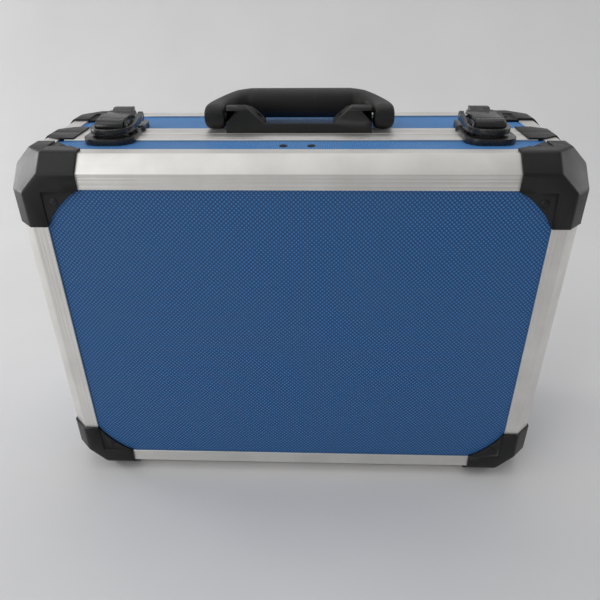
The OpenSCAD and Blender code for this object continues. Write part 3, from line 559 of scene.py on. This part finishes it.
def corner_piece(half, corner):
    """The CAD piece with its long outer edges rounded well and its others just softened."""
    node = f"{half}_corner_{corner}"
    bm = clean_copy(node)
    split_large(bm)
    home = (HALF[half][0] @ CORNER[corner]).inverted()
    flat = bm.copy()
    flat.transform(home @ Matrix.Diagonal((1 / MM, 1 / MM, 1 / MM, 1)))
    if (home.to_3x3()).determinant() < 0:
        bmesh.ops.reverse_faces(flat, faces=flat.faces)
    flat.normal_update()
    outer = [is_outer(face) for face in flat.faces]
    flat.free()
    weight = bm.edges.layers.float.new("bevel_weight_edge")
    bm.faces.ensure_lookup_table()
    for edge in bm.edges:
        if edge.calc_length() < SHORTEST_EDGE * MM or not edge.is_manifold or not edge.is_convex \
                or edge.calc_face_angle(0) < math.radians(FLATTEST_EDGE):
            continue
        edge[weight] = 1.0 if all(outer[face.index] for face in edge.link_faces) else INNER_WEIGHT
    mesh = to_mesh(bm, node + "_shape")
    mesh.shade_smooth()
    made = with_modifiers(mesh, [("BEVEL", {
        "width": OUTER_R * MM, "segments": 4, "limit_method": "WEIGHT", "harden_normals": True,
        "use_clamp_overlap": False, "miter_outer": "MITER_SHARP"})])
    made.set_sharp_from_angle(angle=math.radians(DRESSED_SHARP))
    give("look_" + node, made, CORNER_BLACK, half, [node])


for half in HALF:
    for corner in CORNER:
        corner_piece(half, corner)
    dressed(half + "_rim_caps", CORNER_BLACK, width=0.35, segments=2)


# ---------- rivets ----------

def lathe(bm, matrix, profile, steps=28):
    """Adds a turned solid: profile is (radius, height) from the axis to the axis."""
    rings = []
    for radius, height in profile:
        if radius < 1e-6:
            rings.append([bm.verts.new(matrix @ Vector((0, 0, height)))])
            continue
        rings.append([bm.verts.new(matrix @ Vector((radius * math.cos(2 * math.pi * k / steps),
                                                    radius * math.sin(2 * math.pi * k / steps),
                                                    height))) for k in range(steps)])
    for low, high in zip(rings, rings[1:]):
        for k in range(steps):
            n = (k + 1) % steps
            face = [low[k % len(low)], low[n % len(low)], high[n % len(high)], high[k % len(high)]]
            face = list(dict.fromkeys(face))
            bm.faces.new(face)


def rivet_profile(top, head):
    """A domed head, a shank and a set head, in a skin whose face is at 0."""
    r, shank, set_r = 3.0, 1.6, 2.6
    dome = [(0, top), (0.9, top - 0.03 * head), (1.7, top - 0.14 * head), (2.4, top - 0.36 * head),
            (2.8, top - 0.62 * head), (r, top - 0.82 * head), (r, top - head)]
    tail = [(shank, top - head), (shank, -BOARD_IN), (set_r, -BOARD_IN), (set_r, -SHELL_IN + 0.25),
            (set_r - 0.3, -SHELL_IN), (0.9, -SHELL_IN), (0.7, -SHELL_IN + 0.5), (0, -SHELL_IN + 0.5)]
    return dome + tail


def corner_places(side_a, side_v, a=31.0):
    return [moved(a, 0, a) @ turned("X", 90), moved(side_a, side_v, 0) @ mirrored(z=-1),
            moved(0, side_v, side_a) @ turned("Y", -90)]


def rivet_set(half, side_a, side_v, groups):
    """All the rivets of one half: groups is (side, places, top, head)."""
    half_place = HALF[half][0]
    bm = bmesh.new()
    for corner_place in CORNER.values():
        for spot in corner_places(side_a, side_v):
            lathe(bm, half_place @ corner_place @ spot, rivet_profile(1.6, 1.0))
    for side, spots, top, head in groups:
        for x, v in spots:
            lathe(bm, half_place @ SIDE[side][0] @ moved(x, v, 0), rivet_profile(top, head))
    bmesh.ops.scale(bm, vec=(MM, MM, MM), verts=bm.verts)
    node = half + "_rivets"
    return give("look_" + node, mesh_of(bm, node), DARK_RIVET, half, [node])


HINGE_X, HINGE_PITCH, HINGE_V = 105, 18.0, 10.5
both = (-1, 1)
hinge_spots = [(s * HINGE_X + t * HINGE_PITCH, HINGE_V) for s in both for t in (-1, 0, 1)]
rivet_set("lid", 33.0, 26.0, [
    ("top", [(s * 10.0, 35.0) for s in both], -0.4, 1.0),
    ("top", [(s * LATCH_X + t * 13.2, LID_D - 9) for s in both for t in both], 3.4, 1.0),
    ("bottom", [(x, LID_D - v) for x, v in hinge_spots], 1.1, 0.6)])
rivet_set("base", 31.0, 31.0, [
    ("top", [(s * LATCH_X + t * 15.1, 75.0) for s in both for t in both]
     + [(s * LATCH_X + t * 8.0, 55.5) for s in both for t in both], 3.4, 1.0),
    ("top", [(s * 20.0, 74.0) for s in (-1, 0, 1)], 3.4, 1.0),
    ("bottom", [(x, BASE_D - v) for x, v in hinge_spots], 1.1, 0.6)])


# ---------- lining ----------

def pad(bm, outline, near, far, to_space):
    """Adds one foam sheet with soft edges: an outline between two levels."""
    part = bmesh.new()
    low, high = [[part.verts.new(to_space(p, at)) for p in outline] for at in (near, far)]
    part.faces.new(low)
    part.faces.new(high)
    for k in range(len(outline)):
        n = (k + 1) % len(outline)
        part.faces.new((low[k], low[n], high[n], high[k]))
    bmesh.ops.recalc_face_normals(part, faces=part.faces)
    bmesh.ops.bevel(part, geom=part.edges[:], offset=1.0, segments=3, profile=0.6,
                    affect="EDGES")
    joined(bm, part)


def clipped(w, low, high, first, last):
    """A rectangle -w to w by low to high, its corners clipped at the low and the high end."""
    return [(first - w, low), (w - first, low), (w, low + first)] \
        + ([(w, high - last), (w - last, high), (last - w, high), (-w, high - last)] if last
           else [(w, high), (-w, high)]) + [(-w, low + first)]


LINING_T, LINING_AT = 5.0, SHELL_IN + 0.2


def lining(half):
    half_place, depth = HALF[half]
    bm = bmesh.new()
    a, t = LINING_AT, LINING_T
    wall_v = a + t + 0.2
    end = depth - 1
    w, h = CASE_W / 2 - a, CASE_H - a
    clip = FACET - 3 * a + 1
    pad(bm, clipped(w, a, h, clip, clip), a, a + t, lambda p, at: half_place @ Vector((p[0], at, p[1])))
    for side in SIDE:
        upright = side in ("left", "right")
        reach = (CASE_H - 2 * a) / 2 - t - 0.2 if upright else w
        clip = max(1, FACET - a - 2 * wall_v + 1) if upright else max(1, FACET - 2 * a - wall_v + 1)
        matrix = half_place @ SIDE[side][0]
        pad(bm, clipped(reach, wall_v, end, clip, 0), a, a + t,
            lambda p, at: matrix @ Vector((p[0], p[1], -at)))
    bmesh.ops.scale(bm, vec=(MM, MM, MM), verts=bm.verts)
    node = half + "_lining"
    piece = give("look_" + node, mesh_of(bm, node, 50), FOAM, half, [node])
    return piece


for half in HALF:
    lining(half)


# ---------- hinges ----------

dressed("hinge_leaves_lid", STEEL, width=0.15)
dressed("hinge_leaves_base", STEEL, width=0.15)
dressed("hinge_pins", STEEL, width=0.2)


# ---------- handle ----------

dressed("handle_bracket", HANDLE_BLACK, width=0.7, segments=3, split=True)
dressed("handle_pins", STEEL, width=0.3)

BRACKET_W, BRACKET_GAP, PIVOT_BACK = 111.0, 2, 13   # PIVOT_BACK is from the bracket's front
PIVOT_Y, PIVOT_H = SEAM_Y + BRACKET_GAP + PIVOT_BACK, 9.8
REACH, BAR_R, ARM_R, ARM_W, BAR_L = 34.5, 11.2, 9.4, 16.0, 80.0
BAR_RISE, KNUCKLE_FULL, BAR_FULL = 3.2, 0.5, 0.76
KNUCKLE_X = BRACKET_W / 2 + 1.2 + ARM_W / 2
BEND = [Vector((-KNUCKLE_X, 0)), Vector((-KNUCKLE_X, 17)), Vector((-BAR_L / 2 - 15, REACH)),
        Vector((-BAR_L / 2, REACH))]


def blended(a, b, t):
    return a + (b - a) * t


def arm_rings(knuckle_steps, bend_steps):
    """Rings of the left arm: x, y from the pivot, height, heading, half width, reach down,
    reach up, fullness."""
    rings = []
    for i in range(knuckle_steps + 1):
        q = math.radians(10 + 80 * i / knuckle_steps)
        rings.append((-KNUCKLE_X, -ARM_R * math.cos(q), PIVOT_H, math.pi / 2,
                      ARM_W / 2 * blended(0.85, 1, math.sin(q) ** 0.5), ARM_R * math.sin(q),
                      ARM_R * math.sin(q) ** 0.5, KNUCKLE_FULL))
    for j in range(1, bend_steps + 1):
        t = j / bend_steps
        r = 1 - t
        at = BEND[0] * r ** 3 + BEND[1] * 3 * t * r ** 2 + BEND[2] * 3 * t * t * r + BEND[3] * t ** 3
        way = (BEND[1] - BEND[0]) * r ** 2 + (BEND[2] - BEND[1]) * 2 * t * r \
            + (BEND[3] - BEND[2]) * t * t
        slim = 1 - 0.12 * math.sin(math.pi * min(1, t * 1.3))
        high = blended(ARM_R, BAR_R, t) * slim
        rings.append((at.x, at.y, PIVOT_H + BAR_RISE * t, math.atan2(way.y, way.x),
                      blended(ARM_W / 2, BAR_R, t) * slim, high, high,
                      blended(KNUCKLE_FULL, BAR_FULL, t)))
    return rings


def grip():
    """The grip: two knuckles, arms that bend inwards and the bar, as one swept skin."""
    left = arm_rings(12, 30)
    bar_steps = 16
    last = left[-1]
    bar = [(blended(last[0], -last[0], k / bar_steps), last[1], last[2], 0.0, *last[4:])
           for k in range(1, bar_steps)]
    right = [(-ring[0], ring[1], ring[2], -ring[3], *ring[4:]) for ring in reversed(left)]
    sides = 56

    def full(value, fullness):
        return math.copysign(abs(value) ** fullness, value)

    bm = bmesh.new()
    rings = []
    for x, y, z, heading, w, down, up, fullness in left + bar + right:
        ring = []
        for k in range(sides):
            q = 2 * math.pi * k / sides
            side_way, rise = w * full(math.cos(q), fullness), full(math.sin(q), fullness)
            ring.append(bm.verts.new((x - side_way * math.sin(heading),
                                      PIVOT_Y + y + side_way * math.cos(heading),
                                      TOP + z + rise * (up if rise > 0 else down))))
        rings.append(ring)
    for a, b in zip(rings, rings[1:]):
        for k in range(sides):
            n = (k + 1) % sides
            bm.faces.new((a[k], a[n], b[n], b[k]))
    bm.faces.new(rings[0])
    bm.faces.new(rings[-1])
    bmesh.ops.scale(bm, vec=(MM, MM, MM), verts=bm.verts)
    return give("look_handle_grip", mesh_of(bm, "grip", 45), HANDLE_BLACK, "handle",
                ["handle_grip"])


grip()


# ---------- latches ----------

for s in ("left", "right"):
    dressed(f"latch_{s}_catch", LATCH_BLACK, width=0.6, segments=3)
    dressed(f"latch_{s}_base", LATCH_BLACK, width=0.5, segments=2)
    dressed(f"latch_{s}_lever", LATCH_BLACK, width=0.55, segments=3)
    dressed(f"latch_{s}_ring", LATCH_BLACK, width=0.9, segments=3)
    dressed(f"latch_{s}_ring_pin", STEEL, width=0.2)
dressed("latch_lever_pins", STEEL, width=0.2)


# ---------- studio ----------

def backdrop():
    """A pale floor that curves up into a wall."""
    made, tree, shader = new_material("pale_floor", Specular_IOR_Level=0.15)
    cloud = speckle(tree, place(tree), 0.004, 4.0)
    shade = mix(tree, ramp(tree, cloud, 0.3, 0.7), rgb(0.735, 0.73, 0.732), rgb(0.775, 0.77, 0.772))
    tree.links.new(shade, shader.inputs["Base Color"])
    shader.inputs["Roughness"].default_value = 0.85
    front, back, bend, height, side, steps = -3.0, 0.55, 0.5, 3.0, 3.5, 12
    profile = [(front, 0.0), (back, 0.0)]
    for k in range(1, steps + 1):
        q = math.radians(90 * k / steps)
        profile.append((back + bend * math.sin(q), bend - bend * math.cos(q)))
    profile.append((back + bend, height))
    bm = bmesh.new()
    rows = [[bm.verts.new((x, y, z)) for x in (-side, side)] for y, z in profile]
    for a, b in zip(rows, rows[1:]):
        bm.faces.new((a[0], a[1], b[1], b[0]))
    mesh = to_mesh(bm, "backdrop")
    mesh.shade_smooth()
    mesh.materials.append(made)
    floor = bpy.data.objects.new("backdrop", mesh)
    bpy.context.scene.collection.objects.link(floor)


def lamp(name, spot, aim, size, power):
    light = bpy.data.lights.new(name, "AREA")
    light.shape = "RECTANGLE"
    light.size, light.size_y = size
    light.energy = power
    made = bpy.data.objects.new(name, light)
    made.location = spot
    made.rotation_euler = (Vector(aim) - Vector(spot)).to_track_quat("-Z", "Y").to_euler()
    bpy.context.scene.collection.objects.link(made)


PHOTO_W, FOCAL = 600, 566.32                # pixels
SENSOR_W = 36.0
CAMERA_AT = (0.0166, -0.4450, 0.3989)
HEADING, TILT, ROLL = 2.231, -30.193, 0.593


def camera():
    """The photograph's place, direction and angle of view."""
    data = bpy.data.cameras.new("camera")
    data.sensor_width = SENSOR_W
    data.lens = FOCAL / PHOTO_W * SENSOR_W
    made = bpy.data.objects.new("camera", data)
    turn = turned("Z", HEADING) @ turned("X", TILT) @ turned("Y", ROLL)
    right, up, ahead = (turn.to_3x3() @ Vector(v) for v in ((1, 0, 0), (0, 0, 1), (0, 1, 0)))
    made.matrix_world = Matrix([(right[i], up[i], -ahead[i], CAMERA_AT[i]) for i in range(3)]
                               + [(0, 0, 0, 1)])
    bpy.context.scene.collection.objects.link(made)
    bpy.context.scene.camera = made


backdrop()
camera()
lamp("key", (-1.1, -0.9, 1.9), (0, 0, 0.15), (1.6, 1.2), 7.7)
lamp("top", (0, 0, 2.2), (0, 0, 0.1), (2.0, 2.0), 6.8)
lamp("back_top", (0, 0.7, 1.7), (0, 0, 0.2), (2.0, 0.8), 2.5)
lamp("left_back", (-2.1, 0.8, 0.6), (0, 0, 0.2), (1.0, 1.2), 23.0)
lamp("right_back", (2.1, 0.7, 0.7), (0, 0, 0.2), (1.0, 1.2), 7.5)
lamp("front_left", (-1.6, -1.7, 0.9), (0, 0, 0.15), (1.0, 1.0), 9.7)
world = bpy.data.worlds.new("studio")
world.use_nodes = True
world.node_tree.nodes["Background"].inputs["Color"].default_value = (0.98, 0.99, 1.0, 1.0)
world.node_tree.nodes["Background"].inputs["Strength"].default_value = 0.32
bpy.context.scene.world = world
bpy.context.scene.view_settings.view_transform = "Standard"
